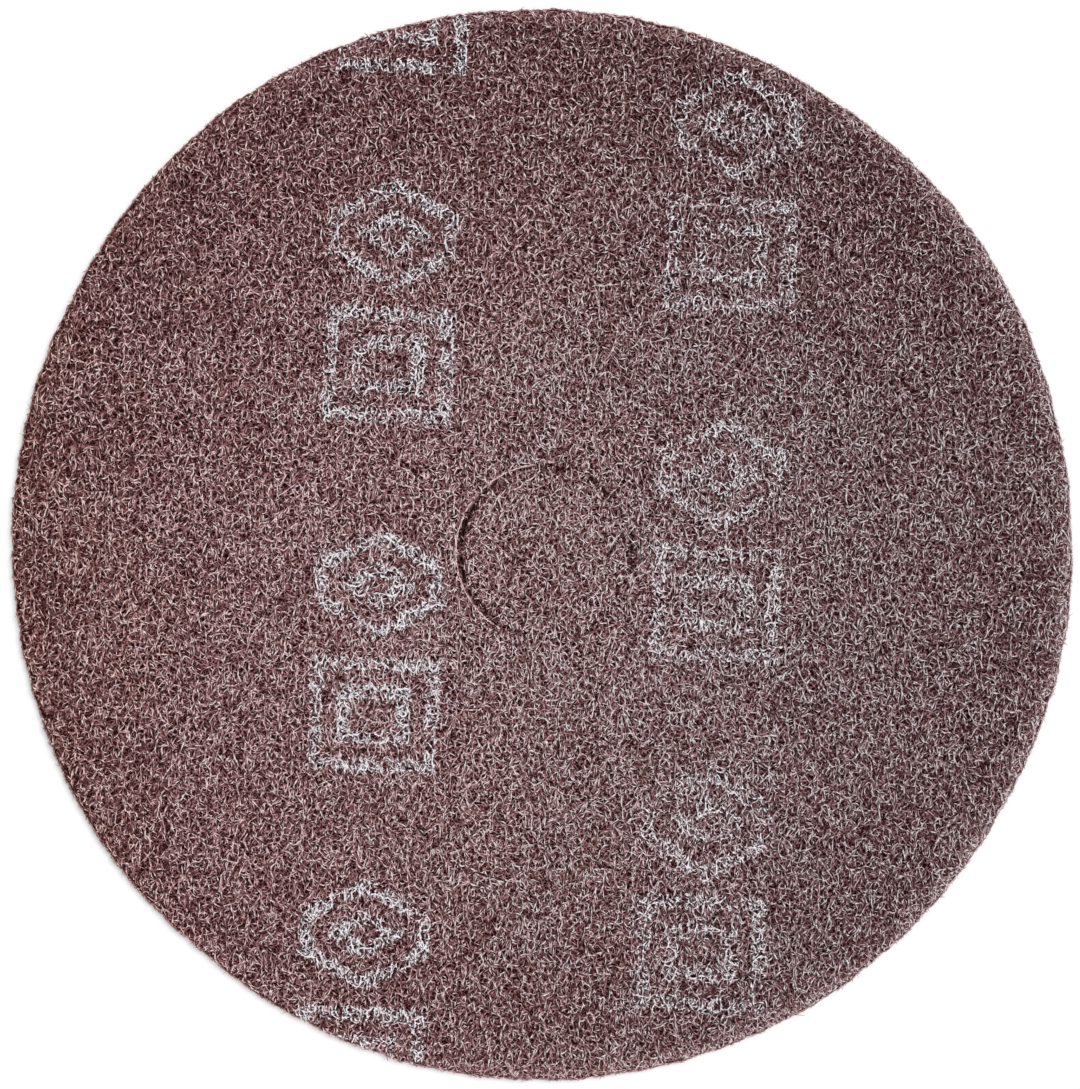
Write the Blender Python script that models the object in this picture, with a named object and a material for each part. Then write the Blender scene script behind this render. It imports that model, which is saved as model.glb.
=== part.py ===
# Floor scrubbing pad: one round piece of non-woven abrasive web, with a die-cut knock-out
# at its centre that uncut ties still hold in place.
# Metres, +Z up. The origin is on the underside, at the middle of the disc.
import math

import bmesh
import bpy

# Disc
PAD_DIAMETER = 0.508
PAD_THICKNESS = 0.008
RIM_ROUNDING = 0.001
ROUNDING_STEPS = 3
RIM_POINTS = 240

# Waves in the cut rim: bulges in a turn, height of a bulge, heading of one bulge in degrees
RIM_WAVES = (
    (2, 0.0014, 102),
    (3, 0.0004, 5),
    (4, 0.0004, 22),
    (5, 0.00035, 50),
    (8, 0.0003, 34),
)

# Knock-out: a round plug, cut a little off the disc's middle and pushed away from its open side
KNOCK_OUT_DIAMETER = 0.08255
KNOCK_OUT_OFFSET_X = 0.0017
KNOCK_OUT_OFFSET_Y = -0.0043
CUT_WIDTH = 0.0005
PLUG_SHIFT = 0.0013
OPEN_HEADING = 172
OPENING_SHARPNESS = 3

# Uncut ties between the plug and the pad, by heading in degrees
TIE_WIDTH = 0.0032
TIE_HEADINGS = (15, 66, 85, 115, 140, 179, 203, 244, 272, 298, 336)
SLIT_STEP = 4

CUTTER_OVERRUN = 0.002

# Resin-bonded fibre, maroon under grey dust
WEB_COLOUR = (0.202, 0.122, 0.124, 1.0)
WEB_ROUGHNESS = 0.92

HALF_TURN = 180
FULL_TURN = 360
LEVEL_FACE = 0.999


def rim_radius(heading):
    """Radius of the disc plus each wave's height times the cosine of its count of bulges."""
    waves = sum(
        height * math.cos(bulges * (heading - math.radians(bulge_heading)))
        for bulges, height, bulge_heading in RIM_WAVES
    )
    return PAD_DIAMETER / 2 + waves


def cut_width(heading):
    """The blade's own width, plus the opening that the pushed plug leaves on one side."""
    facing = max(0.0, math.cos(heading - math.radians(OPEN_HEADING)))
    return CUT_WIDTH + PLUG_SHIFT * facing**OPENING_SHARPNESS


def slit_spans():
    """First and last heading of each slit, which ends half a tie short of the ties beside it."""
    half_tie = math.degrees(TIE_WIDTH / KNOCK_OUT_DIAMETER)
    next_ties = TIE_HEADINGS[1:] + (TIE_HEADINGS[0] + FULL_TURN,)
    return [
        (tie + half_tie, next_tie - half_tie)
        for tie, next_tie in zip(TIE_HEADINGS, next_ties)
    ]


def extrude_outline(bm, points, bottom, top):
    """A closed prism over a flat outline, from the height bottom to the height top."""
    base = bm.faces.new([bm.verts.new((x, y, bottom)) for x, y in points])
    raised = bmesh.ops.extrude_face_region(bm, geom=[base])["geom"]
    lifted = [item for item in raised if isinstance(item, bmesh.types.BMVert)]
    bmesh.ops.translate(bm, verts=lifted, vec=(0, 0, top - bottom))


def web_material():
    material = bpy.data.materials.new("abrasive_web")
    material.use_nodes = True
    material.diffuse_color = WEB_COLOUR
    surface = material.node_tree.nodes["Principled BSDF"]
    surface.inputs["Base Color"].default_value = WEB_COLOUR
    surface.inputs["Roughness"].default_value = WEB_ROUGHNESS
    surface.inputs["Metallic"].default_value = 0.0
    return material


def add_object(name, bm):
    bmesh.ops.recalc_face_normals(bm, faces=bm.faces)
    mesh = bpy.data.meshes.new(name)
    bm.to_mesh(mesh)
    bm.free()
    built = bpy.data.objects.new(name, mesh)
    bpy.context.collection.objects.link(built)
    return built


def make_disc():
    """The wavy disc with its rim rounded over, and its flat faces shaded flat."""
    bm = bmesh.new()
    headings = [math.tau * i / RIM_POINTS for i in range(RIM_POINTS)]
    outline = [
        (rim_radius(a) * math.cos(a), rim_radius(a) * math.sin(a)) for a in headings
    ]
    extrude_outline(bm, outline, 0.0, PAD_THICKNESS)
    level_edges = [
        edge for edge in bm.edges if edge.verts[0].co.z == edge.verts[1].co.z
    ]
    bmesh.ops.bevel(
        bm,
        geom=level_edges,
        offset=RIM_ROUNDING,
        segments=ROUNDING_STEPS,
        profile=0.5,
        affect="EDGES",
    )
    for face in bm.faces:
        face.normal_update()
        face.smooth = abs(face.normal.z) < LEVEL_FACE
    disc = add_object("scrubbing_pad", bm)
    disc.data.materials.append(web_material())
    return disc


def make_slit_cutter():
    """The slits round the knock-out, each a band between the ring's edge and the plug's edge."""
    bm = bmesh.new()
    ring_radius = KNOCK_OUT_DIAMETER / 2
    for start, end in slit_spans():
        steps = max(2, round((end - start) / SLIT_STEP))
        headings = [
            math.radians(start + (end - start) * i / steps) for i in range(steps + 1)
        ]
        outer = [(ring_radius, a) for a in headings]
        inner = [(ring_radius - cut_width(a), a) for a in reversed(headings)]
        outline = [
            (
                KNOCK_OUT_OFFSET_X + radius * math.cos(a),
                KNOCK_OUT_OFFSET_Y + radius * math.sin(a),
            )
            for radius, a in outer + inner
        ]
        extrude_outline(
            bm, outline, -CUTTER_OVERRUN, PAD_THICKNESS + CUTTER_OVERRUN
        )
    cutter = add_object("knock_out_cutter", bm)
    cutter.hide_render = True
    cutter.display_type = "WIRE"
    return cutter


def cut_knock_out(disc, cutter):
    cut = disc.modifiers.new("Knock-out slits", "BOOLEAN")
    cut.operation = "DIFFERENCE"
    cut.solver = "EXACT"
    cut.object = cutter


for old in list(bpy.data.objects):
    bpy.data.objects.remove(old, do_unlink=True)

cut_knock_out(make_disc(), make_slit_cutter())
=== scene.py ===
import math

import bpy
import numpy as np
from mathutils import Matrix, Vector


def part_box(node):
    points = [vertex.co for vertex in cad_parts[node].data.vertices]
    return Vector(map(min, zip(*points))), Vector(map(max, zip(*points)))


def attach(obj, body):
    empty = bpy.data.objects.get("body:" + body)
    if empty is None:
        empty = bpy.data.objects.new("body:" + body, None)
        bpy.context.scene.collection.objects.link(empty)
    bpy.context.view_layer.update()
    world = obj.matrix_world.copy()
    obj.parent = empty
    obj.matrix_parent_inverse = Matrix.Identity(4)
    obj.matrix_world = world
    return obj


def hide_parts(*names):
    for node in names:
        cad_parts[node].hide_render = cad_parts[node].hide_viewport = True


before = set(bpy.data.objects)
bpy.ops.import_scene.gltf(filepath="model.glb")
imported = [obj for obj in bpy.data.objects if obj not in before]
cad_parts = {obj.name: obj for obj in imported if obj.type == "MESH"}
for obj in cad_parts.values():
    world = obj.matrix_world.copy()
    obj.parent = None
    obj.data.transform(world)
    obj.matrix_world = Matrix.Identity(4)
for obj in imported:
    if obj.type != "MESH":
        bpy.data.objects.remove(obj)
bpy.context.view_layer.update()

# Everything is in metres, in the pad's own frame: +Z up, the origin on the underside.
# Headings are in degrees in the dictionaries and in radians in the functions.
padNode = "scrubbing_pad"
_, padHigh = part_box(padNode)
padTop = padHigh.z
padReach = max(padHigh.x, padHigh.y)
upwards = np.array([0.0, 0.0, 1.0])
latticeSize = 512
leastRimShare = 0.9
almostZero = 1e-9


def smoothNoise(x, y, cell, seed):
    # Random values from -1 to 1 on a square lattice, blended by smoothstep between its corners
    lattice = np.random.default_rng(seed).uniform(-1, 1, (latticeSize, latticeSize))
    col, row = np.floor(x / cell), np.floor(y / cell)
    u, v = x / cell - col, y / cell - row
    u, v = u * u * (3 - 2 * u), v * v * (3 - 2 * v)
    col, row = col.astype(int) % latticeSize, row.astype(int) % latticeSize
    nextCol, nextRow = (col + 1) % latticeSize, (row + 1) % latticeSize
    lower = lattice[row, col] * (1 - u) + lattice[row, nextCol] * u
    upper = lattice[nextRow, col] * (1 - u) + lattice[nextRow, nextCol] * u
    return lower * (1 - v) + upper * v


# The die's cut through loose fibre leaves a ragged rim: height, cell and seed of each noise
raggedRim = {"coarse": (0.0005, 0.007, 3), "fine": (0.0003, 0.0025, 4)}


def readRim(node):
    # The widest CAD point in each degree of heading, as headings and radii. A degree that holds
    # no point of the rim is left out.
    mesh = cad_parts[node].data
    points = np.empty(len(mesh.vertices) * 3)
    mesh.vertices.foreach_get("co", points)
    x, y = points.reshape(-1, 3)[:, :2].T
    radius = np.hypot(x, y)
    widest = np.zeros(360)
    np.maximum.at(widest, (np.degrees(np.arctan2(y, x)) % 360).astype(int), radius)
    held = np.flatnonzero(widest > leastRimShare * widest.max())
    return held + 0.5, widest[held]


rimHeadings, rimRadii = readRim(padNode)


def rimRadius(heading):
    # The CAD rim's radius, plus a coarse and a fine noise sampled round it
    radius = np.interp(np.degrees(heading), rimHeadings, rimRadii, period=360)
    x, y = radius * np.cos(heading), radius * np.sin(heading)
    for height, cell, seed in raggedRim.values():
        radius = radius + height * smoothNoise(x, y, cell, seed)
    return radius


def insideRim(x, y):
    # How far a point lies inside the rim, along its own heading
    return rimRadius(np.arctan2(y, x)) - np.hypot(x, y)


# The die-cut plug at the middle: its cut opens on one side, ties bridge it, and the web dips into
# shade beside the open side
knockOut = {
    "centreX": 0.0017,
    "centreY": -0.0043,
    "radius": 0.041275,
    "cutWidth": 0.0005,
    "plugShift": 0.0013,
    "openHeading": 172,
    "openingSharpness": 3,
    "tieWidth": 0.0032,
    "tieHeadings": (15, 66, 85, 115, 140, 179, 203, 244, 272, 298, 336),
    "shade": 0.42,
    "shadeHeading": 158,
    "shadeMiddle": -0.0007,
    "shadeReach": 0.0016,
}


def facing(heading, towards):
    # The cosine of the angle between a heading and another in degrees, or 0 past a right angle
    return np.maximum(0, np.cos(heading - math.radians(towards)))


def aboutPlug(x, y):
    # Places as headings about the plug's centre and distances from it
    dx, dy = x - knockOut["centreX"], y - knockOut["centreY"]
    return np.arctan2(dy, dx), np.hypot(dx, dy)


def fromPlug(heading, away):
    # Headings about the plug's centre and distances from it as places
    x = knockOut["centreX"] + away * np.cos(heading)
    y = knockOut["centreY"] + away * np.sin(heading)
    return x, y


def cutWidthAt(heading):
    # The blade's width, plus the plug's shift times a power of the cosine towards the open side
    opened = facing(heading, knockOut["openHeading"]) ** knockOut["openingSharpness"]
    return knockOut["cutWidth"] + knockOut["plugShift"] * opened


def tiedAt(heading):
    # True within half a tie's width of a tie's heading, both taken as angles at the plug's radius
    ties = np.radians(knockOut["tieHeadings"])
    away = np.abs((heading[..., None] - ties + np.pi) % (2 * np.pi) - np.pi).min(-1)
    return away < knockOut["tieWidth"] / knockOut["radius"] / 2


def inCut(x, y, spare):
    # True in the open slits round the plug, widened by spare on both sides
    heading, away = aboutPlug(x, y)
    inner = knockOut["radius"] - cutWidthAt(heading)
    return (away > inner - spare) & (away < knockOut["radius"] + spare) & ~tiedAt(heading)


def cutShade(x, y):
    # Tone lost beside the cut: a bell of the distance from the circle, times the root of the
    # cosine towards the shaded side
    heading, away = aboutPlug(x, y)
    apart = away - knockOut["radius"] - knockOut["shadeMiddle"]
    bell = np.exp(-((apart / knockOut["shadeReach"]) ** 2))
    return knockOut["shade"] * np.sqrt(facing(heading, knockOut["shadeHeading"])) * bell


# Two leaning columns of plain printed frames, a six-sided one above a four-sided one.
# Pairs are for the left and the right column.
marks = {
    "lean": 2.5,
    "columns": (-0.0765, 0.084),
    "starts": (0.113, 0.006),
    "covers": (0.95, 0.6),
    "pitch": 0.1665,
    "halfWidth": 0.031,
    "halfLength": 0.0275,
    "blockShift": 0.031,
    "sixSidedSlope": 0.55,
    "stroke": 0.0068,
    "innerInset": 0.0135,
    "wobble": 0.0010,
    "wobbleCell": 0.0045,
    "wobbleSeeds": (38, 39),
    "patchiness": 0.6,
    "patchMost": 1.15,
    "patchCell": 0.006,
    "patchSeed": 37,
}


def frameCover(x, y):
    # The cover of a column inside the strokes of its frames, else 0. Blocks repeat along a leaning
    # column. The depth inside a block's outline tells its outer stroke, and less the inset its inner.
    lean = math.radians(marks["lean"])
    across = x * math.cos(lean) - y * math.sin(lean)
    along = x * math.sin(lean) + y * math.cos(lean)
    right = across > 0
    pairs = [marks[name] for name in ("columns", "starts", "covers")]
    column, start, cover = [np.where(right, pair[1], pair[0]) for pair in pairs]
    pitch = marks["pitch"]
    step = (along - start + pitch / 2) % pitch - pitch / 2
    upper = step > 0
    slope = np.where(upper, marks["sixSidedSlope"], 0)
    side = np.abs(across - column)
    end = np.abs(step - np.where(upper, 1, -1) * marks["blockShift"])
    toEnd = (marks["halfLength"] - end - slope * side) / np.sqrt(1 + slope**2)
    depth = np.minimum(marks["halfWidth"] - side, toEnd)
    inner = depth - marks["innerInset"]
    stroke = marks["stroke"]
    inStroke = ((depth > 0) & (depth < stroke)) | ((inner > 0) & (inner < stroke))
    return cover * inStroke


def printCover(x, y):
    # Share of the fibre tips that carry ink: the frames' cover, whose edges two noises move,
    # times a patchiness by a third
    patches = smoothNoise(x, y, marks["patchCell"], marks["patchSeed"])
    patch = np.clip(1 + marks["patchiness"] * patches, 0, marks["patchMost"])
    wobble, cell = marks["wobble"], marks["wobbleCell"]
    seedX, seedY = marks["wobbleSeeds"]
    movedX = x + wobble * smoothNoise(x, y, cell, seedX)
    movedY = y + wobble * smoothNoise(x, y, cell, seedY)
    return patch * frameCover(movedX, movedY)


def addObject(name, data):
    # An object in the scene, at the origin
    thing = bpy.data.objects.new(name, data)
    bpy.context.scene.collection.objects.link(thing)
    return thing


def meshPiece(name, points, faceGroups, mapGroups):
    # points is rows of x, y, z; each face group is rows of 3 or 4 point numbers, and
    # mapGroups holds one map coordinate for each corner of each face
    corners = np.concatenate([group.ravel() for group in faceGroups])
    sizes = np.concatenate([np.full(len(group), group.shape[1]) for group in faceGroups])
    starts = np.concatenate([[0], np.cumsum(sizes)[:-1]])
    mesh = bpy.data.meshes.new(name)
    mesh.vertices.add(len(points))
    mesh.vertices.foreach_set("co", points.astype(np.float32).ravel())
    mesh.loops.add(len(corners))
    mesh.loops.foreach_set("vertex_index", corners.astype(np.int32))
    mesh.polygons.add(len(sizes))
    mesh.polygons.foreach_set("loop_start", starts.astype(np.int32))
    mesh.polygons.foreach_set("use_smooth", np.ones(len(sizes), bool))
    layer = mesh.uv_layers.new(name="OFBake")
    places = np.concatenate([group.reshape(-1, 2) for group in mapGroups])
    layer.uv.foreach_set("vector", places.astype(np.float32).ravel())
    mesh.update(calc_edges=True)
    mesh.validate()
    piece = addObject(name, mesh)
    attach(piece, "root")
    return piece


print("stage: web body")
webBody = {
    "spokes": 264,
    "plugRings": 9,
    "padRings": 44,
    "ringSpread": 1.15,
    "sideRows": 3,
    "sideBulge": 0.0012,
    "sunkTop": 0.0017,
    "raisedUnderside": 0.0006,
    "setBack": 0.0006,
    "rolledEdge": 0.0007,
    "rolledReach": 0.0030,
    "tieNotch": 0.2,
    "loft": 0.00022,
    "loftCell": 0.009,
    "fineLoft": 0.5,
    "fineLoftStep": 2.3,
    "topSeed": 11,
    "underSeed": 16,
    "fill": 1.0,
}

# The body's own map: top and underside as discs, each by its size and its middle's place both
# ways, and the walls as bands
bodyMap = {
    "topDisc": (0.66, 0.34), "underDisc": (0.3, 0.84), "band": (0.01, 0.66), "rowHeight": 0.03,
    "sideFrom": 0.82, "wallsFrom": 0.98, "endCorner": (0.7, 0.1), "endSize": 0.02,
}


def loftAt(x, y, seed):
    # Slow swells of the web: two noises, the finer one at a share of the height
    cell = webBody["loftCell"]
    coarse = smoothNoise(x, y, cell, seed)
    fine = smoothNoise(x, y, cell / webBody["fineLoftStep"], seed + 1)
    return webBody["loft"] * (coarse + webBody["fineLoft"] * fine)


def rolledAt(x, y):
    # How far both faces roll in at the rim: a squared ramp of the distance inside it
    nearRim = np.clip(1 - insideRim(x, y) / webBody["rolledReach"], 0, 1)
    return webBody["rolledEdge"] * nearRim**2


def bodyTopAt(x, y):
    # The sunk top's height: it rolls down towards the rim, and swells
    return padTop - webBody["sunkTop"] - rolledAt(x, y) + loftAt(x, y, webBody["topSeed"])


def bodyUnderAt(x, y):
    # The underside's height: it rolls up towards the rim, and its swells only rise
    return webBody["raisedUnderside"] + rolledAt(x, y) + np.abs(loftAt(x, y, webBody["underSeed"]))


def bodyPlan():
    # A fan about the plug's centre: rings out to the cut, then rings blended from the cut to the
    # rim, closer together outwards by a power. At a tie the mesh keeps a notch of the cut.
    spokes = webBody["spokes"]
    heading = 2 * np.pi * np.arange(spokes) / spokes
    direction = np.stack([np.cos(heading), np.sin(heading)], 1)
    centre = np.array([knockOut["centreX"], knockOut["centreY"]])
    notch = webBody["tieNotch"] * knockOut["cutWidth"]
    plugEdge = knockOut["radius"] - np.where(tiedAt(heading), notch, cutWidthAt(heading))
    plugShare = np.arange(1, webBody["plugRings"] + 1) / webBody["plugRings"]
    plug = centre + (plugShare[:, None] * plugEdge)[..., None] * direction
    cutEdge = centre + knockOut["radius"] * direction
    rim = (rimRadius(heading) - webBody["setBack"])[:, None] * direction
    padShare = (np.arange(webBody["padRings"] + 1) / webBody["padRings"])[:, None, None]
    padShare = 1 - (1 - padShare) ** webBody["ringSpread"]
    pad = cutEdge * (1 - padShare) + rim * padShare
    return heading, centre, np.concatenate([plug, pad])


def cells(a, b):
    # One face for each spoke between two rows of points, facing up if b lies outside a
    return np.stack([a, b, np.roll(b, -1, -1), np.roll(a, -1, -1)], -1)


def discMap(corners, disc):
    # Map corners of a face as seen from above, scaled to a disc about its middle
    size, middle = bodyMap[disc]
    return corners[..., :2] / (2 * padReach) * size + middle


def bandMap(count, rows, top):
    # Map corners of rows of cells, spread evenly along the band and stepping down from its top
    low, high = bodyMap["band"]
    along = low + (high - low) * np.arange(count + 1) / count
    down = top - bodyMap["rowHeight"] * np.arange(rows + 1)
    u = np.stack([along[:-1], along[1:], along[1:], along[:-1]], 1)
    v = np.stack([down[:-1], down[:-1], down[1:], down[1:]], 1)[:, None]
    return np.stack(np.broadcast_arrays(u, v), -1)


def makeWebBody():
    # A closed shell: top and underside share one plan, rows of a half sine bulge join them at the
    # rim, and walls line the slits, which both faces leave open
    heading, centre, plan = bodyPlan()
    rings, spokes = plan.shape[:2]
    rows = webBody["sideRows"]
    x, y = plan[..., 0], plan[..., 1]
    top = np.stack([x, y, bodyTopAt(x, y)], -1)
    under = np.stack([x, y, bodyUnderAt(x, y)], -1)
    share = (np.arange(1, rows + 1) / (rows + 1))[:, None, None]
    side = top[-1] * (1 - share) + under[-1] * share
    side[..., :2] *= 1 + webBody["sideBulge"] * np.sin(np.pi * share)
    poles = np.array([[*centre, bodyTopAt(*centre)], [*centre, bodyUnderAt(*centre)]])
    points = np.concatenate([part.reshape(-1, 3) for part in (top, under, side, poles)])

    topId = np.arange(rings * spokes).reshape(rings, spokes)
    underId = topId + rings * spokes
    sideId = np.arange(rows * spokes).reshape(rows, spokes) + 2 * rings * spokes
    topPole, underPole = len(points) - 2, len(points) - 1
    cutRing = webBody["plugRings"] - 1
    slit = ~tiedAt(heading + np.pi / spokes)
    whole = np.ones((rings - 1, spokes), bool)
    whole[cutRing] = ~slit
    topFaces = cells(topId[:-1], topId[1:])[whole]
    underFaces = cells(underId[:-1], underId[1:])[whole][:, ::-1]
    fanTop = np.stack([np.full(spokes, topPole), topId[0], np.roll(topId[0], -1)], 1)
    fanUnder = np.stack([np.full(spokes, underPole), np.roll(underId[0], -1), underId[0]], 1)
    sideRows = np.concatenate([topId[-1:], sideId, underId[-1:]])
    sideFaces = cells(sideRows[:-1], sideRows[1:]).reshape(-1, 4)
    plugWall = cells(topId[cutRing], underId[cutRing])[slit]
    ringWall = cells(topId[cutRing + 1], underId[cutRing + 1])[slit][:, ::-1]
    # Where a slit ends at a tie, a wall closes it across the cut
    after = np.flatnonzero(slit & ~np.roll(slit, 1))
    before = (np.flatnonzero(slit & ~np.roll(slit, -1)) + 1) % spokes

    def crossWall(at):
        # Faces across the cut, one at each of the given spokes
        a, b = topId[cutRing, at], topId[cutRing + 1, at]
        return np.stack([a, underId[cutRing, at], underId[cutRing + 1, at], b], 1)

    endWalls = np.concatenate([crossWall(after)[:, ::-1], crossWall(before)])
    walls = bandMap(spokes, 2, bodyMap["wallsFrom"])
    square = np.array([[0, 0], [1, 0], [1, 1], [0, 1]])
    endMap = np.array(bodyMap["endCorner"]) + bodyMap["endSize"] * square
    faces = [topFaces, underFaces, fanTop, fanUnder, sideFaces, plugWall, ringWall, endWalls]
    maps = [
        discMap(points[topFaces], "topDisc"),
        discMap(points[underFaces], "underDisc"),
        discMap(points[fanTop], "topDisc"),
        discMap(points[fanUnder], "underDisc"),
        bandMap(spokes, rows + 1, bodyMap["sideFrom"]),
        walls[0][slit],
        walls[1][slit],
        np.broadcast_to(endMap, (len(endWalls), 4, 2)),
    ]
    piece = meshPiece("web_body", points, faces, maps)
    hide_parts(padNode)
    return piece


bodyPiece = makeWebBody()

print("stage: fibres")

# Irrational steps that spread places evenly: along a line, and two ways over a plane
lineStep, planeStepX, planeStepY = 0.6180339887, 0.7548776662, 0.5698402910
firstSteps = 1000


def scatter(count, seed):
    # Evenly spread places over the pad's square: two irrational steps through it, nudged at random
    rng = np.random.default_rng(seed)
    i = np.arange(count) + rng.uniform(0, firstSteps)
    unit = np.stack([i * planeStepX % 1, i * planeStepY % 1], 1)
    nudge = rng.uniform(-0.5, 0.5, (count, 2)) / math.sqrt(count)
    return (unit - 0.5 + nudge) * 2 * padReach, rng


# How a fibre curls, and its width at the tips as a share of the width in its middle
fibreBend = {"grainBias": 0.55, "grainSpread": 0.6, "bend": 2.2, "sway": 1.0, "tipWidth": 0.6}


def curl(rng, length, points, along=np.pi / 2):
    # Paths about the origin: the heading turns by a bend over the length plus one sine wave.
    # Part of the headings gather about the given one, along the web's making.
    count = len(length)
    biased = rng.random(count) < fibreBend["grainBias"]
    grain = along + rng.normal(0, fibreBend["grainSpread"], count)
    heading = np.where(biased, grain, rng.uniform(0, np.pi, count))
    bend = rng.normal(0, fibreBend["bend"], count)
    sway = rng.normal(0, fibreBend["sway"], count)
    phase = rng.uniform(0, 2 * np.pi, count)
    middle = (np.arange(points - 1) + 0.5) / (points - 1)
    turn = heading[:, None] + bend[:, None] * (middle - 0.5)
    turn = turn + sway[:, None] * np.sin(2 * np.pi * middle + phase[:, None])
    steps = (length / (points - 1))[:, None, None] * np.stack([np.cos(turn), np.sin(turn)], -1)
    path = np.concatenate([np.zeros((count, 1, 2)), np.cumsum(steps, 1)], 1)
    return path - path.mean(1, keepdims=True)


# The net that fibres follow: the zero lines of two noises added, the second finer and turned
fibreNet = {
    "fineShare": 0.7, "fineStep": 1.4, "turnCosine": 0.8, "turnSine": 0.6, "drawn": 1.3,
    "nudgesInCell": 20, "movesInCell": 3, "leastSlope": 0.3, "lineSteps": 2, "seedStep": 50,
    "lengths": (0.65, 1.35), "free": 0.25, "stray": 0.00010, "leastSpan": 0.4,
}


def netNoise(x, y, cell, seed):
    # A noise plus a share of a finer one, turned so that no square lattice shows
    cosine, sine = fibreNet["turnCosine"], fibreNet["turnSine"]
    turnedX, turnedY = cosine * x - sine * y, sine * x + cosine * y
    fine = smoothNoise(turnedX, turnedY, cell / fibreNet["fineStep"], seed + 1)
    return smoothNoise(x, y, cell, seed) + fibreNet["fineShare"] * fine


def toZeroLine(x, y, cell, seed):
    # One Newton step down the noise's slope towards its zero line, of at most a part of a cell
    nudge = cell / fibreNet["nudgesInCell"]
    value = netNoise(x, y, cell, seed)
    slopeX = (netNoise(x + nudge, y, cell, seed) - value) / nudge
    slopeY = (netNoise(x, y + nudge, cell, seed) - value) / nudge
    share = -value / np.maximum(slopeX**2 + slopeY**2, (fibreNet["leastSlope"] / cell) ** 2)
    moveX, moveY = share * slopeX, share * slopeY
    most = cell / fibreNet["movesInCell"]
    limit = np.minimum(1, most / np.maximum(np.hypot(moveX, moveY), almostZero))
    return x + moveX * limit, y + moveY * limit, slopeX, slopeY


def netPaths(rng, middle, layer, along=np.pi / 2):
    # Paths laid along the zero lines, so that they chain end to end round small holes. A share of
    # them stays free, as curls. Also tells which were folded up by a turn of their line.
    # The noise is drawn out along the web's making, by working in squeezed places.
    points, count = layer["points"], len(middle)
    cell, seed = layer["cell"], layer["seed"] + fibreNet["seedStep"]
    length = layer["length"] * rng.uniform(*fibreNet["lengths"], count)
    free = rng.random(count) < fibreNet["free"]
    curled = middle[:, None] + curl(rng, length, points, along)
    drawn = fibreNet["drawn"] if along > 0 else 1.0
    x, y = middle[:, 0], middle[:, 1] / drawn
    for _ in range(fibreNet["lineSteps"]):
        x, y, slopeX, slopeY = toZeroLine(x, y, cell, seed)
    steep = np.maximum(np.hypot(slopeX, slopeY), almostZero)
    reach = length[:, None] * (np.arange(points) / (points - 1) - 0.5)
    x = x[:, None] - reach * (slopeY / steep)[:, None]
    y = y[:, None] + reach * (slopeX / steep)[:, None]
    for _ in range(fibreNet["lineSteps"]):
        x, y, slopeX, slopeY = toZeroLine(x, y, cell, seed)
    laid = np.stack([x, y * drawn], -1) + rng.normal(0, fibreNet["stray"], (count, points, 2))
    paths = np.where(free[:, None, None], curled, laid)
    span = np.linalg.norm(paths[:, -1] - paths[:, 0], axis=-1)
    return paths, span < fibreNet["leastSpan"] * length


def shareAndBow(points):
    # Over a path's points: a share from 0 to 1, and a half sine wave that is 1 in the middle
    share = np.arange(points) / (points - 1)
    return share, np.sin(np.pi * share)


def taper(bow):
    # A fibre's width along it, from the tips' share up to 1 by the half sine wave
    return fibreBend["tipWidth"] + (1 - fibreBend["tipWidth"]) * bow


def tubes(paths, radii, up):
    # Three-sided tubes that end in points: round each inner path point, corners lie at the radius,
    # two of them 60 degrees to either side of up and one opposite it, so that a flat side faces up
    tangent = np.gradient(paths, axis=1)[:, 1:-1]
    tangent /= np.linalg.norm(tangent, axis=-1, keepdims=True)
    across = np.cross(tangent, up)
    across /= np.maximum(np.linalg.norm(across, axis=-1, keepdims=True), almostZero)
    above = np.cross(across, tangent)
    angle = np.pi / 6 + 2 * np.pi * np.arange(3) / 3
    reach = np.cos(angle)[:, None] * across[:, :, None] + np.sin(angle)[:, None] * above[:, :, None]
    rings = paths[:, 1:-1, None] + radii[:, 1:-1, None, None] * reach
    count, inner = rings.shape[:2]
    corners = np.concatenate([paths[:, :1], rings.reshape(count, inner * 3, 3), paths[:, -1:]], 1)
    ids = np.arange(corners.shape[0] * corners.shape[1]).reshape(count, -1)
    ring = ids[:, 1:-1].reshape(count, inner, 3)
    turned = np.roll(ring, -1, 2)
    sides = np.stack([ring[:, :-1], ring[:, 1:], turned[:, 1:], turned[:, :-1]], -1)
    first = np.broadcast_to(ids[:, :1], (count, 3))
    last = np.broadcast_to(ids[:, -1:], (count, 3))
    tips = np.concatenate([
        np.stack([first, ring[:, 0], turned[:, 0]], -1),
        np.stack([ring[:, -1], last, turned[:, -1]], -1),
    ])
    return corners.reshape(-1, 3), [sides.reshape(-1, 4), tips.reshape(-1, 3)]


def perCorner(values, ringOffsets):
    # Spreads values at path points over a tube's corners, with an offset for each corner of a ring
    rings = values[:, 1:-1, None] + ringOffsets
    spread = [values[:, :1], rings.reshape(len(rings), -1), values[:, -1:]]
    return np.concatenate(spread, 1).ravel()


# How tone and tint change over the pad and from fibre to fibre. Tones run from 0, dark, to 1, pale.
tones = {
    "clump": 0.07,
    "thick": 0.20,
    "tipShade": 0.08,
    "fadeMiddle": 0.8,
    "spread": 0.09,
    "patchy": 0.15,
    "dome": 0.085,
    "domeFall": 0.180,
    "domeTilt": 0.05,
    # Painted light at the rim, more of it to the right, and a narrower strip of it at the very edge
    "rimPaintedLight": 0.42,
    "rimEven": 0.54,
    "rimAcross": 0.52,
    "rimReach": 0.0037,
    "rimPaintedEdgeLight": 0.20,
    "edgeLightReach": 0.0012,
    # The rim fibres' share of the rim's painted light
    "sideShare": 0.6,
    "tintMiddle": 0.70,
    "tintSlope": 0.60,
    "tintMost": 1.1,
    "tintPatch": 0.14,
    "tintCell": 0.024,
    "tintSeed": 35,
    "tintStray": 0.12,
    "tintRim": 0.30,
}


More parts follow.
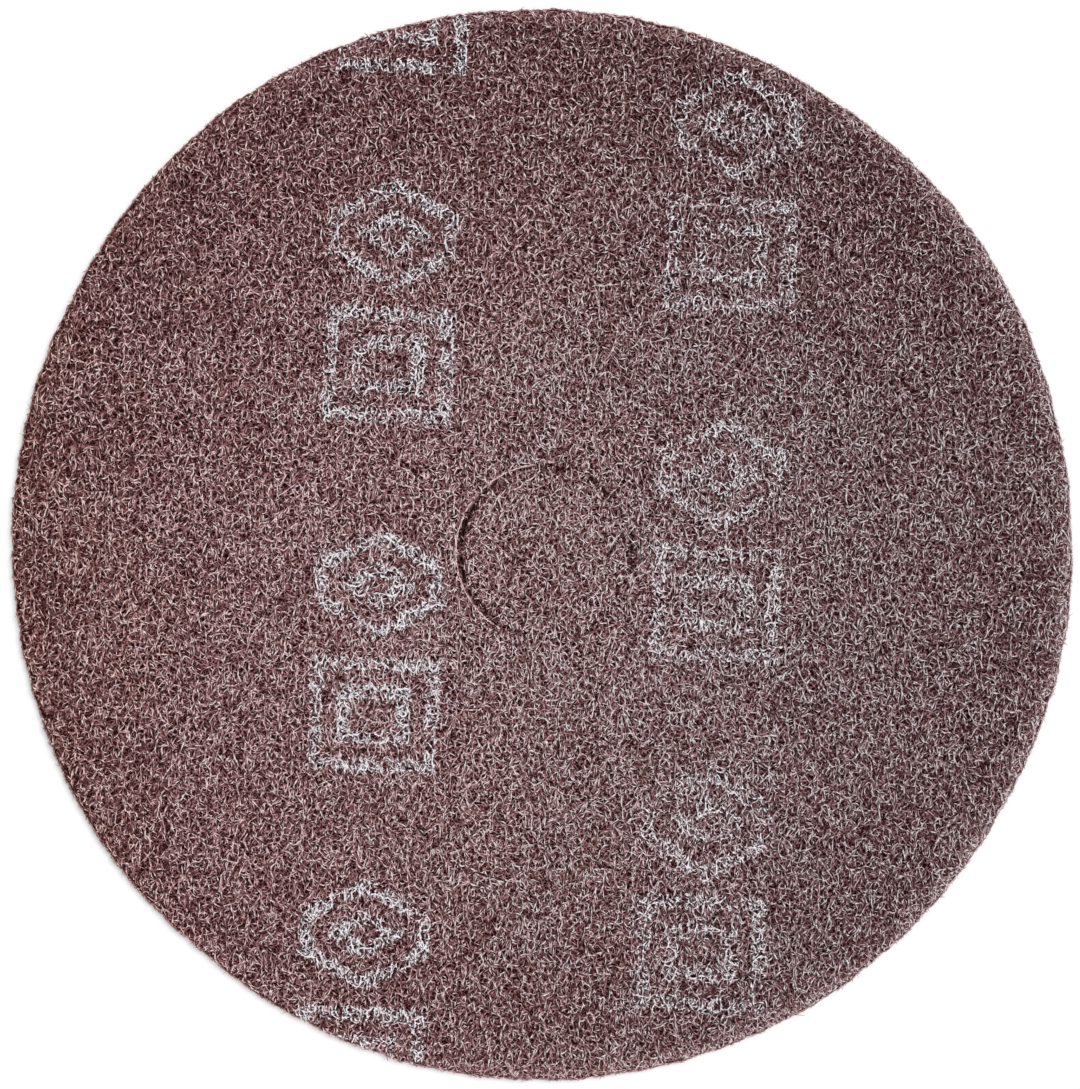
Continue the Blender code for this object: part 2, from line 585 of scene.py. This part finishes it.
def placeOf(x, y):
    # The tint's place, from 0, warm, to 1, cool: a slope across the pad up to a most, plus a slow
    # noise, less an exponential that warms the rim
    slope = tones["tintMiddle"] + tones["tintSlope"] * x / padReach
    slope = np.minimum(slope, tones["tintMost"])
    inside = np.maximum(insideRim(x, y), 0)
    slope = slope - tones["tintRim"] * np.exp(-inside / tones["rimReach"])
    patches = smoothNoise(x, y, tones["tintCell"], tones["tintSeed"])
    return slope + tones["tintPatch"] * patches


def paintedRimLight(x, y):
    # The rim is paler with painted light, more so to the right: an exponential of the distance inside
    # the rim, times an even share plus a slope across the pad, plus a narrower exponential
    inside = np.maximum(insideRim(x, y), 0)
    share = tones["rimEven"] + tones["rimAcross"] * x / padReach
    pale = tones["rimPaintedLight"] * share * np.exp(-inside / tones["rimReach"])
    return pale + tones["rimPaintedEdgeLight"] * np.exp(-inside / tones["edgeLightReach"])


def slowTone(x, y):
    # A dome by the squared distance from the middle, less a slope up the pad and the cut's painted
    # shade, plus the rim's painted light
    across, up = x / padReach, y / padReach
    dome = tones["dome"] - tones["domeFall"] * (across**2 + up**2)
    return dome - tones["domeTilt"] * up - cutShade(x, y) + paintedRimLight(x, y)


# A fibre piece's map holds looks and not places: tone runs along it, the tint's place up it, and
# the ink lies above that. Round a tube the corners are offset: painted light pales one upper
# edge, and painted shade darkens the underside.
lookMap = {
    "tintFrom": 0.02, "tintSpan": 0.78, "tintTo": 0.8, "inkFrom": 0.86, "inkEdge": 20.0, "inkAt": 0.93,
    "toneLimits": (0.01, 0.99), "cornerLightAndShade": (0.03, 0.0, -0.10),
    "cornerPlaces": (0.004, 0.012, 0.024), "grainScale": 70, "grain": 0.14,
}


def fibrePiece(name, paths, radii, tone, ink=False, warmth=0.0, up=upwards):
    # Tubes along the paths, with their looks as their map. Each fibre's tint strays a little from
    # its neighbours', by draws that start from the number of fibres.
    stray = np.random.default_rng(len(paths)).normal(0, tones["tintStray"], (len(paths), 1))
    place = np.clip(placeOf(paths[..., 0], paths[..., 1]) + stray - warmth, 0, 1)
    place = np.where(ink, lookMap["inkAt"], lookMap["tintFrom"] + lookMap["tintSpan"] * place)
    points, faces = tubes(paths, radii, up)
    u = np.clip(perCorner(tone, np.array(lookMap["cornerLightAndShade"])), *lookMap["toneLimits"])
    v = perCorner(place, np.array(lookMap["cornerPlaces"]))
    looks = np.stack([u, v], -1)
    print(name, len(paths), "fibres")
    return meshPiece(name, points, faces, [looks[group] for group in faces])


# Thick and thin spots of the web, small hollows in it, and how close fibres come to its edges
webSpots = {
    "clumpCell": 0.0042, "clumpNoises": ((0.7, 1, 31), (0.45, 2.7, 32)), "contrast": 2,
    "hollowCell": 0.005, "hollowSeed": 33, "hollowLevel": -0.86, "hollowLeft": 0.2,
    "rimMargin": 0.0003, "cutMargin": 0.0001,
}


def clumps(x, y):
    # Thick and thin spots, from about -1 to 1: two noises added, each by its share, its size in
    # cells and its seed
    cell, noises = webSpots["clumpCell"], webSpots["clumpNoises"]
    return sum(share * smoothNoise(x, y, size * cell, seed) for share, size, seed in noises)


# Layers of the upper face, from the web's depth to its crests. Their tones fall with depth:
# painted shade within the web.
topLayers = {
    "deep_fibres": {
        "count": 20500, "points": 3, "length": 0.0046, "radius": 0.00028, "cell": 0.0026,
        "rise": 0.0002, "arch": 0.0003, "tone": 0.59, "thinning": 0.0, "printed": 0.8, "seed": 21,
    },
    "lower_fibres": {
        "count": 26000, "points": 3, "length": 0.0042, "radius": 0.00027, "cell": 0.0026,
        "rise": 0.0006, "arch": 0.0004, "tone": 0.755, "thinning": 0.2, "printed": 0.9, "seed": 22,
    },
    "upper_fibres": {
        "count": 30000, "points": 3, "length": 0.0038, "radius": 0.00025, "cell": 0.0026,
        "rise": 0.0010, "arch": 0.0004, "tone": 0.855, "thinning": 0.4, "printed": 1.0, "seed": 23,
    },
    "crest_fibres": {
        "count": 33000, "points": 3, "length": 0.0038, "radius": 0.00024, "cell": 0.0031,
        "rise": 0.0014, "arch": 0.0004, "tone": 0.94, "thinning": 0.5, "printed": 1.0, "seed": 24,
    },
}

# Short inked tips that lie on the crests, only inside the printed strokes
inkLayer = {
    "count": 7500, "tries": 200000, "points": 3, "length": 0.0030, "radius": 0.00037, "cell": 0.0034,
    "rise": 0.0016, "arch": 0.0005, "tone": 1.0, "thinning": 0.5, "printed": 1.2, "seed": 25,
}

# What all layers of the upper face share
topNet = {
    "spareTries": 2.6, "crossing": 0.15, "arches": (0.5, 1.2), "endDip": 0.0003,
    "thickSpread": 0.26, "thickLimits": (0.6, 1.9),
}


def makeTopLayer(name, layer, onlyInked=False):
    # A net of fibres on the web's top: height is the web's, plus the layer's rise and an arch by a
    # half sine wave, less a dip at both ends. Thin spots of the web lose some of them, and a few
    # cross the slits. Thickness is the exponential of a normal draw, and thick fibres are paler.
    points = layer["points"]
    tries = layer.get("tries", int(layer["count"] * topNet["spareTries"]))
    middle, rng = scatter(tries, layer["seed"])
    plan, folded = netPaths(rng, middle, layer)
    x, y = plan[..., 0], plan[..., 1]
    middle = plan.mean(1)
    thick = clumps(*middle.T)
    thinned = layer["thinning"] * (0.5 - 0.5 * np.tanh(webSpots["contrast"] * thick))
    stays = rng.random(len(middle)) < 1 - thinned
    cut = inCut(x, y, webSpots["cutMargin"]).any(1) & (rng.random(len(middle)) > topNet["crossing"])
    stays &= (insideRim(x, y).min(1) > webSpots["rimMargin"]) & ~cut & ~folded
    if layer["thinning"] > 0:
        spots = smoothNoise(*middle.T, webSpots["hollowCell"], webSpots["hollowSeed"])
        hollow = spots < webSpots["hollowLevel"]
        stays &= ~hollow | (rng.random(len(middle)) < webSpots["hollowLeft"])
    if onlyInked:
        stays &= rng.random(len(middle)) < printCover(*middle.T)
    chosen = np.flatnonzero(stays)[: layer["count"]]
    count = len(chosen)
    _, bow = shareAndBow(points)
    arch = layer["arch"] * rng.uniform(*topNet["arches"], (count, 1)) * bow
    dip = topNet["endDip"] * (1 - bow)
    x, y = x[chosen], y[chosen]
    z = bodyTopAt(x, y) + layer["rise"] + arch - dip
    thickness = np.exp(rng.normal(0, topNet["thickSpread"], (count, 1)))
    thickness = np.clip(thickness, *topNet["thickLimits"])
    radii = layer["radius"] * thickness * taper(bow)
    tone = layer["tone"] + slowTone(x, y) + rng.normal(0, tones["spread"], (count, 1))
    tone = tone + tones["thick"] * (thickness - 1)
    # Tips darker than the middle: painted shade where they dip into the web
    tone = tone + tones["tipShade"] * (bow - tones["fadeMiddle"])
    tone = tone + tones["clump"] * thick[chosen, None]
    tone = tone + rng.normal(0, tones["patchy"], (count, points))
    ink = rng.random((count, 1)) < layer["printed"] * printCover(x, y)
    return fibrePiece(name, np.stack([x, y, z], -1), radii, tone, ink)


# The underside's fibres hang from the web and never reach below the floor
underLayer = {
    "count": 18000, "spareTries": 1.8, "points": 3, "length": 0.0048, "radius": 0.00027,
    "widths": (0.75, 1.25), "cell": 0.0030, "hang": (0.2, 1.2), "floorGap": 0.00003,
    "tone": 0.74, "toneSpread": 0.15, "tipShade": 0.15, "seed": 41,
}


def makeUnderLayer(name, layer):
    # As above, but each fibre hangs just under the web, lifted where it would go below the floor
    count = layer["count"]
    middle, rng = scatter(int(count * layer["spareTries"]), layer["seed"])
    plan, folded = netPaths(rng, middle, layer)
    x, y = plan[..., 0], plan[..., 1]
    inside = insideRim(x, y).min(1) > webSpots["rimMargin"]
    stays = inside & ~inCut(x, y, webSpots["cutMargin"]).any(1)
    chosen = np.flatnonzero(stays & ~folded)[:count]
    count = len(chosen)
    x, y = x[chosen], y[chosen]
    _, bow = shareAndBow(layer["points"])
    radii = layer["radius"] * rng.uniform(*layer["widths"], (count, 1)) * taper(bow)
    z = bodyUnderAt(x, y) - radii * rng.uniform(*layer["hang"], (count, 1))
    z = np.maximum(z, radii.max(1, keepdims=True) + layer["floorGap"])
    tone = layer["tone"] + rng.normal(0, layer["toneSpread"], (count, 1))
    # Tips darker than the middle: painted shade
    tone = tone + layer["tipShade"] * (bow - tones["fadeMiddle"])
    return fibrePiece(name, np.stack([x, y, z], -1), radii, tone, up=-upwards)


# The cut rim's fibres run round it, and their cut ends poke out
rimLayer = {
    "count": 16000, "spareTries": 1.3, "points": 3, "length": 0.0036, "radius": 0.00025,
    "widths": (0.7, 1.25), "cell": 0.0026, "low": 0.0005, "high": 0.0076, "rise": 0.00025,
    "poke": 0.00035, "edgeRound": 0.0011, "tone": 0.46, "toneSpread": 0.16, "toneRise": 0.25,
    "seed": 51,
}


def makeRimLayer(name, layer):
    # A net laid on the rim's unrolled band, then wrapped round it. Each fibre's radius is the
    # rim's, less a fourth power of the height from the middle, plus a squared run-out at one end.
    count = layer["count"]
    rng = np.random.default_rng(layer["seed"])
    i = np.arange(int(count * layer["spareTries"]))
    around = 2 * np.pi * padReach * (i * lineStep % 1)
    height = layer["low"] + (layer["high"] - layer["low"]) * (i * planeStepX % 1)
    band, folded = netPaths(rng, np.stack([around, height], 1), layer, 0.0)
    band = band[~folded][:count]
    count = len(band)
    angle = band[..., 0] / padReach
    z = np.clip(band[..., 1], layer["low"], layer["high"])
    share, bow = shareAndBow(layer["points"])
    fromMiddle = np.abs(z - padTop / 2) / (padTop / 2)
    poke = rng.exponential(layer["poke"], (count, 1)) * share**2
    rise = layer["rise"] * rng.uniform(0, 1, (count, 1))
    away = rimRadius(angle) - webBody["setBack"] + (rise + poke - layer["edgeRound"] * fromMiddle**4)
    radii = layer["radius"] * rng.uniform(*layer["widths"], (count, 1)) * taper(bow)
    z = np.clip(z, radii.max(1, keepdims=True), padTop)
    tone = layer["tone"] + rng.normal(0, layer["toneSpread"], (count, 1))
    tone = tone + layer["toneRise"] * (z / padTop - 0.5)
    paths = np.stack([away * np.cos(angle), away * np.sin(angle), z], -1)
    # The rim's painted light, at the side fibres' share
    tone = tone + tones["sideShare"] * paintedRimLight(paths[..., 0], paths[..., 1])
    return fibrePiece(name, paths, radii, tone)


# Fibres along both walls of the slits round the plug, their dark tone painted shade in the slits
cutLayer = {
    "count": 900, "points": 4, "length": 0.0026, "lengths": (0.6, 1.4), "radius": 0.00020,
    "widths": (0.7, 1.2), "low": 0.0008, "high": 0.0068, "flatness": 0.5, "poke": 0.0004,
    "pokesInGap": 3, "tone": 0.26, "toneSpread": 0.12, "seed": 61,
}


def makeCutLayer(name, layer):
    # Fibres curled on each wall's unrolled band; the plug's and the ring's wall take turns.
    # One end pokes into the gap, by a squared run-out of at most a part of the gap.
    points = layer["points"]
    rng = np.random.default_rng(layer["seed"])
    heading = 2 * np.pi * (np.arange(layer["count"]) * lineStep % 1)
    heading = heading[~tiedAt(heading)]
    count = len(heading)
    onRing = np.arange(count)[:, None] % 2 == 0
    height = layer["low"] + (layer["high"] - layer["low"]) * rng.random(count)
    length = layer["length"] * rng.uniform(*layer["lengths"], count)
    band = curl(rng, length, points, 0.0)
    angle = heading[:, None] + band[..., 0] / knockOut["radius"]
    z = np.clip(height[:, None] + layer["flatness"] * band[..., 1], layer["low"], layer["high"])
    share, bow = shareAndBow(points)
    gap = cutWidthAt(angle)
    poke = rng.exponential(layer["poke"], (count, 1)) * share**2
    poke = np.minimum(poke, gap / layer["pokesInGap"])
    away = np.where(onRing, knockOut["radius"] - poke, knockOut["radius"] - gap + poke)
    radii = layer["radius"] * rng.uniform(*layer["widths"], (count, 1)) * taper(bow)
    tone = layer["tone"] + rng.normal(0, layer["toneSpread"], (count, points))
    return fibrePiece(name, np.stack([*fromPlug(angle, away), z], -1), radii, tone)


# Dark uncut fibres low in the slits: their dark tone is painted shade of the slit's depth
gapLayer = {
    "count": 1100, "points": 4, "length": 0.0036, "lengths": (0.6, 1.4), "radius": 0.00032,
    "widths": (0.7, 1.2), "low": 0.0008, "high": 0.0034, "tone": 0.16, "toneSpread": 0.06, "seed": 62,
}


def makeGapLayer(name, layer):
    # Each runs along the cut's middle line, and its curl fills the gap's width
    points, count = layer["points"], layer["count"]
    level = np.ones(points)
    rng = np.random.default_rng(layer["seed"])
    heading = 2 * np.pi * (np.arange(count) * lineStep % 1)
    length = layer["length"] * rng.uniform(*layer["lengths"], count)
    band = curl(rng, length, points, 0.0)
    angle = heading[:, None] + band[..., 0] / knockOut["radius"]
    gap = cutWidthAt(angle)
    across = gap * rng.uniform(-0.5, 0.5, (count, 1)) + band[..., 1]
    away = knockOut["radius"] - gap / 2 + np.clip(across, -gap / 2, gap / 2)
    z = (layer["low"] + (layer["high"] - layer["low"]) * rng.random((count, 1))) * level
    radii = layer["radius"] * rng.uniform(*layer["widths"], (count, 1)) * level
    tone = (layer["tone"] + rng.normal(0, layer["toneSpread"], (count, 1))) * level
    return fibrePiece(name, np.stack([*fromPlug(angle, away), z], -1), radii, tone)


# Pale cut ends along the ring's upper edge, on the open side: partly the cut ends' own colour,
# partly painted light where that edge faces the light
edgeLayer = {
    "count": 270, "points": 4, "length": 0.0026, "lengths": (0.5, 1.4), "radius": 0.00025,
    "widths": (0.6, 1.2), "from": 100, "to": 240, "outside": 0.0001, "shifted": 0.0011,
    "stray": 0.00032, "slant": 0.0008, "drop": 0.0003, "gapCell": 0.003, "gapLevel": -0.30,
    "gapSeed": 64, "tone": 0.95, "toneSpread": 0.18, "warmth": 0.35, "seed": 63,
}


def makeEdgeLayer(name, layer):
    # Short arcs about the plug that stray and slant outwards from the edge. The edge is rolled back
    # on the open side, by a cosine, and a noise leaves stretches bare.
    points = layer["points"]
    rng = np.random.default_rng(layer["seed"])
    heading = np.radians(rng.uniform(layer["from"], layer["to"], (layer["count"], 1)))
    edge = knockOut["radius"] * np.concatenate([np.cos(heading), np.sin(heading)], 1)
    heading = heading[smoothNoise(*edge.T, layer["gapCell"], layer["gapSeed"]) > layer["gapLevel"]]
    count = len(heading)
    length = layer["length"] * rng.uniform(*layer["lengths"], (count, 1))
    share, bow = shareAndBow(points)
    angle = heading + length * (share - 0.5) / knockOut["radius"]
    stray = rng.normal(0, layer["stray"], (count, points))
    slant = rng.normal(0, layer["slant"], (count, 1)) * (share - 0.5)
    rolledBack = layer["shifted"] * facing(angle, knockOut["shadeHeading"])
    away = knockOut["radius"] + layer["outside"] + rolledBack + np.abs(stray + slant)
    x, y = fromPlug(angle, away)
    z = bodyTopAt(x, y) + topLayers["crest_fibres"]["rise"] - layer["drop"] * rng.random((count, 1))
    radii = layer["radius"] * rng.uniform(*layer["widths"], (count, 1)) * taper(bow)
    tone = layer["tone"] + rng.normal(0, layer["toneSpread"], (count, points))
    return fibrePiece(name, np.stack([x, y, z], -1), radii, tone, warmth=layer["warmth"])


fibrePieces = [makeTopLayer(name, layer) for name, layer in topLayers.items()]
fibrePieces += [
    makeTopLayer("inked_fibres", inkLayer, True),
    makeUnderLayer("underside_fibres", underLayer),
    makeRimLayer("rim_fibres", rimLayer),
    makeCutLayer("cut_fibres", cutLayer),
    makeGapLayer("gap_fibres", gapLayer),
    makeEdgeLayer("cut_edge_fibres", edgeLayer),
]

print("stage: materials")
black, white = (0, 0, 0, 1), (1, 1, 1, 1)
webLooks = {
    "tones": (
        (0.00, (0.012, 0.0010, 0.0013)),
        (0.25, (0.090, 0.0260, 0.0280)),
        (0.50, (0.300, 0.143, 0.146)),
        (0.75, (0.600, 0.356, 0.364)),
        (0.93, (0.890, 0.635, 0.647)),
        # The top stop, paler and less red, is partly a painted sheen of glints on the palest fibres
        (1.00, (1.000, 0.850, 0.862)),
    ),
    "tints": (
        (0.0, (1.000, 0.930, 0.830)),
        (0.3, (1.000, 0.945, 0.950)),
        (0.7, (0.960, 0.980, 0.980)),
        (1.0, (0.860, 0.965, 0.970)),
    ),
    "ink": (1.00, 0.95, 0.98, 1),
    "inkGain": 1.6,
    "inkOffset": -0.35,
    "roughness": 0.62,
    "gloss": 0.15,
}


def addNode(tree, kind, **values):
    # A node of a kind, with its own settings
    node = tree.nodes.new(kind)
    for name, value in values.items():
        setattr(node, name, value)
    return node


def feed(tree, socket, value):
    # A number or a colour becomes the input's own value, and an output is linked to it
    if isinstance(value, (int, float, tuple)):
        socket.default_value = value
    else:
        tree.links.new(value, socket)


def feedNamed(tree, node, values):
    # Feeds a node's inputs by their names
    for name, value in values.items():
        feed(tree, node.inputs[name], value)


def calc(tree, operation, *values, clamp=False):
    # A Math node's result for numbers or outputs
    node = addNode(tree, "ShaderNodeMath", operation=operation, use_clamp=clamp)
    for socket, value in zip(node.inputs, values):
        feed(tree, socket, value)
    return node.outputs[0]


def mixColours(tree, share, first, second, blend="MIX"):
    # Two colours blended by a share, or by another way of blending
    node = addNode(tree, "ShaderNodeMix", data_type="RGBA", blend_type=blend)
    feed(tree, node.inputs[0], share)
    feed(tree, node.inputs[6], first)
    feed(tree, node.inputs[7], second)
    return node.outputs[2]


def colourRamp(tree, source, table):
    # Colours blended along a value between the table's stops
    ramp = addNode(tree, "ShaderNodeValToRGB")
    stops = ramp.color_ramp.elements
    for i, (at, colour) in enumerate(table):
        stop = stops[i] if i < 2 else stops.new(at)
        stop.position, stop.color = at, (*colour, 1)
    tree.links.new(source, ramp.inputs[0])
    return ramp.outputs[0]


def newGroup(name, inputs, output, outputKind):
    # A node group with inputs, given as names and kinds, and one output; its two end nodes too
    group = bpy.data.node_groups.new(name, "ShaderNodeTree")
    for socket, kind in inputs.items():
        group.interface.new_socket(socket, in_out="INPUT", socket_type=kind)
    group.interface.new_socket(output, in_out="OUTPUT", socket_type=outputKind)
    ins, outs = addNode(group, "NodeGroupInput"), addNode(group, "NodeGroupOutput")
    return group, ins.outputs, outs.inputs[output]


def useGroup(tree, group, values):
    # A group's result in a tree, with its inputs fed by name
    node = addNode(tree, "ShaderNodeGroup", node_tree=group)
    feedNamed(tree, node, values)
    return node.outputs[0]


def makeWebColour():
    # Tone and place to colour: the tone's ramp times the tint's, with ink over it
    inputs = dict.fromkeys(("Tone", "Place", "Ink"), "NodeSocketFloat")
    group, ins, out = newGroup("web_colour", inputs, "Colour", "NodeSocketColor")
    plain = colourRamp(group, ins["Tone"], webLooks["tones"])
    tint = colourRamp(group, ins["Place"], webLooks["tints"])
    tinted = mixColours(group, 1.0, plain, tint, "MULTIPLY")
    gain, offset = webLooks["inkGain"], webLooks["inkOffset"]
    level = calc(group, "MULTIPLY_ADD", ins["Tone"], gain, offset, clamp=True)
    inked = mixColours(group, level, black, webLooks["ink"])
    group.links.new(mixColours(group, ins["Ink"], tinted, inked), out)
    return group


webColour = makeWebColour()


def newMaterial(name):
    # A material, its node tree and its surface
    material = bpy.data.materials.new(name)
    material.use_nodes = True
    return material, material.node_tree, material.node_tree.nodes["Principled BSDF"]


def makeFibreMaterial():
    # The map's looks as tone, tint's place and ink, with a fine noise on the tone as grain
    material, tree, surface = newMaterial("resin_coated_fibre")
    spot = addNode(tree, "ShaderNodeUVMap", uv_map="OFBake").outputs[0]
    parts = addNode(tree, "ShaderNodeSeparateXYZ")
    tree.links.new(spot, parts.inputs[0])
    along, upMap, _ = parts.outputs
    noise = addNode(tree, "ShaderNodeTexNoise")
    feedNamed(tree, noise, {"Scale": lookMap["grainScale"], "Vector": spot})
    grain = calc(tree, "MULTIPLY_ADD", noise.outputs[0], lookMap["grain"], -lookMap["grain"] / 2)
    tone = calc(tree, "ADD", along, grain)
    place = calc(tree, "DIVIDE", upMap, lookMap["tintTo"], clamp=True)
    pastEdge = calc(tree, "SUBTRACT", upMap, lookMap["inkFrom"])
    ink = calc(tree, "MULTIPLY", pastEdge, lookMap["inkEdge"], clamp=True)
    feedNamed(tree, surface, {
        "Base Color": useGroup(tree, webColour, {"Tone": tone, "Place": place, "Ink": ink}),
        "Roughness": webLooks["roughness"],
        "Specular IOR Level": webLooks["gloss"],
    })
    return material


# The body's strands, as the named inputs of their group: cells in metres, and how thin they are
webTangle = {
    "Fine Cell": 0.0014,
    "Middle Cell": 0.0021,
    "Wide Cell": 0.0031,
    "Sharpness": 13.0,
}

# Each net of strands: its share of the sum, and how far its noise is moved from the others
tangleNets = {
    "Fine Cell": {"share": 0.60, "shift": 0.0},
    "Middle Cell": {"share": 0.55, "shift": 0.37},
    "Wide Cell": {"share": 0.50, "shift": 0.71},
}


def levelLines(group, place, cell, sharpness, shift):
    # Strands along a noise's middle level: 1 on the line, falling with the distance of its value
    moved = addNode(group, "ShaderNodeVectorMath", operation="ADD")
    feed(group, moved.inputs[0], place)
    feed(group, moved.inputs[1], (shift, shift, shift))
    noise = addNode(group, "ShaderNodeTexNoise")
    scale = calc(group, "DIVIDE", 1.0, cell)
    feedNamed(group, noise, {"Detail": 0, "Vector": moved.outputs[0], "Scale": scale})
    apart = calc(group, "ABSOLUTE", calc(group, "SUBTRACT", noise.outputs[0], 0.5))
    return calc(group, "SUBTRACT", 1.0, calc(group, "MULTIPLY", apart, sharpness), clamp=True)


def makeTangle():
    # Crossing strands: the level lines of three noises added up, so that crossings stand out
    inputs = {"Vector": "NodeSocketVector", **dict.fromkeys(webTangle, "NodeSocketFloat")}
    group, ins, out = newGroup("web_tangle", inputs, "Strand", "NodeSocketFloat")
    total = 0.0
    for name, net in tangleNets.items():
        lines = levelLines(group, ins["Vector"], ins[name], ins["Sharpness"], net["shift"])
        total = calc(group, "MULTIPLY_ADD", lines, net["share"], total, clamp=True)
    group.links.new(total, out)
    return group


tangleGroup = makeTangle()

webDepth = {
    # The dark tone between the strands is partly painted shade in the web's depth
    "dark": 0.0,
    "light": 0.64,
    "underLight": 0.72,
    "rimCircle": 0.9925,
    # The dark tone's share of the rim's painted light
    "rimLightOnDark": 0.30,
    "bump": 0.0005,
    "bumpStrength": 0.8,
    "roughness": 0.85,
    "gloss": 0.05,
}


def makeBodyMaterial():
    # Strands times a light tone, over a dark one, partly the web's own colour and partly painted
    # shade in its depth. The light one rises towards the underside, where fewer fibres cover it, and
    # follows the fibres' dome and tilt. Tints follow theirs as well.
    material, tree, surface = newMaterial("matted_web")
    spot = addNode(tree, "ShaderNodeTexCoord").outputs["Object"]
    parts = addNode(tree, "ShaderNodeSeparateXYZ")
    tree.links.new(spot, parts.inputs[0])
    x, y, z = parts.outputs
    strand = useGroup(tree, tangleGroup, {"Vector": spot, **webTangle})
    low = calc(tree, "MULTIPLY_ADD", z, -1 / padTop, 1.0, clamp=True)
    span = webDepth["underLight"] - webDepth["light"]
    light = calc(tree, "MULTIPLY_ADD", low, span, webDepth["light"] - webDepth["dark"])
    outward = calc(tree, "MULTIPLY_ADD", y, y, calc(tree, "MULTIPLY", x, x))
    fall = -tones["domeFall"] / padReach**2
    dome = calc(tree, "MULTIPLY_ADD", outward, fall, tones["dome"])
    light = calc(tree, "ADD", light, dome)
    light = calc(tree, "MULTIPLY_ADD", y, -tones["domeTilt"] / padReach, light)
    # Painted light at the rim: both tones pale there, by an exponential of the distance inside a
    # circle just within it
    beyond = calc(tree, "SUBTRACT", calc(tree, "SQRT", outward), webDepth["rimCircle"] * padReach)
    near = calc(tree, "EXPONENT", calc(tree, "DIVIDE", beyond, tones["rimReach"]), clamp=True)
    aside, even = tones["rimAcross"] / padReach, tones["rimEven"]
    pale = calc(tree, "MULTIPLY", calc(tree, "MULTIPLY_ADD", x, aside, even), near)
    light = calc(tree, "MULTIPLY_ADD", pale, tones["rimPaintedLight"], light)
    dark = calc(tree, "MULTIPLY_ADD", pale, webDepth["rimLightOnDark"], webDepth["dark"])
    tone = calc(tree, "MULTIPLY_ADD", strand, light, dark)
    slope, start = tones["tintSlope"] / padReach, tones["tintMiddle"]
    place = calc(tree, "MULTIPLY_ADD", x, slope, start, clamp=True)
    bump = addNode(tree, "ShaderNodeBump")
    feedNamed(tree, bump, {
        "Strength": webDepth["bumpStrength"],
        "Distance": webDepth["bump"],
        "Height": strand,
    })
    feedNamed(tree, surface, {
        "Base Color": useGroup(tree, webColour, {"Tone": tone, "Place": place, "Ink": 0}),
        "Normal": bump.outputs[0],
        "Roughness": webDepth["roughness"],
        "Specular IOR Level": webDepth["gloss"],
    })
    return material


bodyPiece.data.materials.append(makeBodyMaterial())
fibreMaterial = makeFibreMaterial()
for piece in fibrePieces:
    piece.data.materials.append(fibreMaterial)

print("stage: floor, light and camera")
floorLook = {"size": 4.0, "colour": (0.94, 0.94, 0.94, 1), "roughness": 1, "glow": 0.12}


def makeFloor():
    # One square, whose glow is seen by the camera alone and lights nothing
    half = floorLook["size"] / 2
    corners = [(-half, -half, 0), (half, -half, 0), (half, half, 0), (-half, half, 0)]
    mesh = bpy.data.meshes.new("floor")
    mesh.from_pydata(corners, [], [(0, 1, 2, 3)])
    floor = addObject("floor", mesh)
    material, tree, surface = newMaterial("white_floor")
    ray = addNode(tree, "ShaderNodeLightPath")
    feedNamed(tree, surface, {
        "Base Color": floorLook["colour"],
        "Roughness": floorLook["roughness"],
        "Emission Color": white,
        "Emission Strength": calc(tree, "MULTIPLY", ray.outputs["Is Camera Ray"], floorLook["glow"]),
    })
    mesh.materials.append(material)


studioLight = {"sky": 0.45, "sun": 1.9, "sunSpread": 28, "sunHeading": 35, "sunHeight": 70}


def makeLight():
    # The sky lights at its own strength and is seen as plain white; a broad sun stands high
    world = bpy.data.worlds.new("studio")
    bpy.context.scene.world = world
    world.use_nodes = True
    tree = world.node_tree
    ray = addNode(tree, "ShaderNodeLightPath")
    seen = ray.outputs["Is Camera Ray"]
    for kind in ("Is Glossy Ray", "Is Transmission Ray"):
        seen = calc(tree, "ADD", seen, ray.outputs[kind], clamp=True)
    lit = studioLight["sky"]
    strength = calc(tree, "MULTIPLY_ADD", seen, 1 - lit, lit)
    feedNamed(tree, tree.nodes["Background"], {"Color": white, "Strength": strength})
    sun = bpy.data.lights.new("key", "SUN")
    sun.energy = studioLight["sun"]
    sun.angle = math.radians(studioLight["sunSpread"])
    tilt = math.radians(90 - studioLight["sunHeight"])
    lamp = addObject("key", sun)
    lamp.rotation_euler = (tilt, 0, math.radians(studioLight["sunHeading"] + 90))


photoView = {
    "width": 1080,
    "height": 1089,
    "millimetresPerPixel": 0.4755,
    "padCentrePixel": (541.86, 544.01),
    "lens": 85,
    "sensorWidth": 36,
}


def makeCamera():
    # Straight above; the pad's centre falls on its pixel in a frame of the photograph's size
    width, height = photoView["width"], photoView["height"]
    pixelX, pixelY = photoView["padCentrePixel"]
    scale = photoView["millimetresPerPixel"] / 1000
    camera = bpy.data.cameras.new("camera")
    camera.lens = photoView["lens"]
    camera.sensor_width = photoView["sensorWidth"]
    away = max(width, height) * scale * camera.lens / camera.sensor_width
    holder = addObject("camera", camera)
    holder.location = ((width / 2 - pixelX) * scale, (pixelY - height / 2) * scale, padTop + away)
    bpy.context.scene.camera = holder


makeFloor()
makeLight()
makeCamera()
bpy.context.scene.view_settings.view_transform = "Standard"
